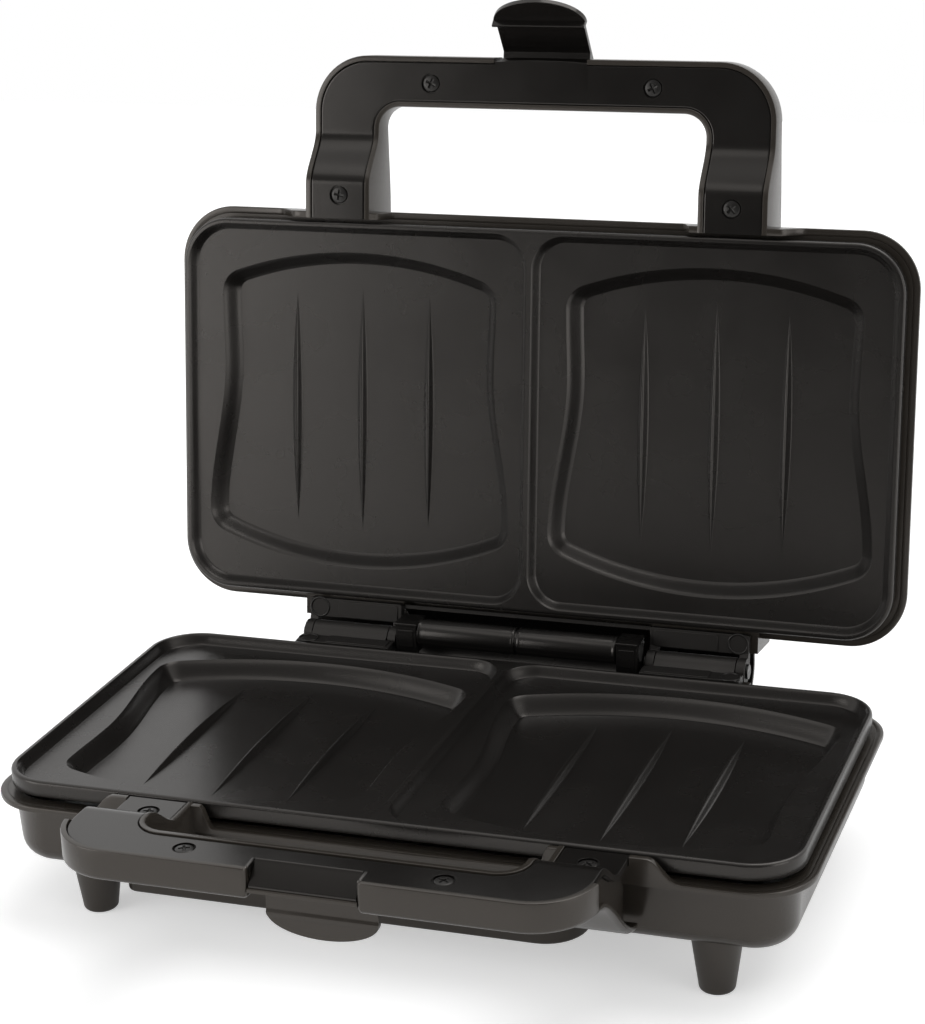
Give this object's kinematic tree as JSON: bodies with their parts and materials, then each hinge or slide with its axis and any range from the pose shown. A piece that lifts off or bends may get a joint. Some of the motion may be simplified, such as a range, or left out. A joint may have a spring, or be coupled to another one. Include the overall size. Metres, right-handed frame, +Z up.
{
  "type": "sandwich toaster",
  "caption": "Countertop sandwich toaster with a hinged lid, waisted pockets in both plates, looped handles and a swinging front latch.",
  "frame": {"origin": "centre of the bounding box at floor level, with the lid open", "axes": "+X to the right, +Y from the handles to the hinge, +Z up"},
  "size_m": [0.29, 0.2786, 0.2954],
  "materials": {
    "housing_bronze": "satin metallic",
    "handle_black": "satin",
    "hinge_black": "semi-gloss",
    "plate_coating": "non-stick coating on cast aluminium",
    "screw_black": "black oxide",
    "pin_steel": "satin",
    "shield_steel": "mill finish",
    "element_steel": "heat tinted",
    "ceramic_cream": "matt",
    "wire_sleeve": "glass braid",
    "gland_rubber": "matt",
    "foot_bronze": "satin",
    "lamp_red": "clear tinted",
    "lamp_green": "clear tinted"
  },
  "bodies": {
    "base": {"base_housing": "housing_bronze", "bottom_cover": "handle_black", "bottom_cover_screws": "pin_steel", "foot_front_left": "foot_bronze", "foot_front_right": "foot_bronze", "foot_rear_left": "foot_bronze", "foot_rear_right": "foot_bronze", "lower_plate": "plate_coating", "lower_heating_element": "element_steel", "lower_heat_shield": "shield_steel", "lower_plate_retainers": "pin_steel", "lower_handle_shell": "housing_bronze", "lower_handle_cover": "handle_black", "lower_handle_screws": "screw_black", "finger_tab": "housing_bronze", "thermostat": "ceramic_cream", "thermal_fuse": "pin_steel", "terminal_block": "ceramic_cream", "base_wiring": "wire_sleeve", "cord_gland": "gland_rubber", "base_hinge_bracket_left": "hinge_black", "base_hinge_bracket_right": "hinge_black", "base_hinge_screws": "screw_black", "hinge_pins_left": "pin_steel", "hinge_pins_right": "pin_steel", "hinge_cover": "hinge_black", "wiring_tube_left": "hinge_black", "wiring_tube_right": "hinge_black", "wiring_tube_clips": "hinge_black", "loom": "gland_rubber"},
    "lid": {"lid_housing": "housing_bronze", "upper_plate": "plate_coating", "upper_heating_element": "element_steel", "upper_heat_shield": "shield_steel", "upper_plate_retainers": "pin_steel", "upper_handle_shell": "housing_bronze", "upper_handle_cover": "handle_black", "upper_handle_screws": "screw_black", "lid_hinge_bracket_left": "hinge_black", "lid_hinge_bracket_right": "hinge_black", "lid_hinge_screws": "screw_black", "power_lamp_lens": "lamp_red", "ready_lamp_lens": "lamp_green", "lamp_holder": "ceramic_cream", "lid_wiring": "wire_sleeve", "latch_pin": "pin_steel"},
    "latch": {"latch": "handle_black"}
  },
  "joints": [
    {"name": "lid_hinge", "type": "hinge", "parent": "base", "child": "lid", "pos_m": [0, 0.08442, 0.0524], "axis": [1, 0, 0], "range_deg": [0, 97.64]},
    {"name": "latch_pivot", "type": "hinge", "parent": "lid", "child": "latch", "pos_m": [0, 0.13432, 0.26866], "axis": [1, 0, 0], "range_deg": [-20, 47.9]}
  ]
}
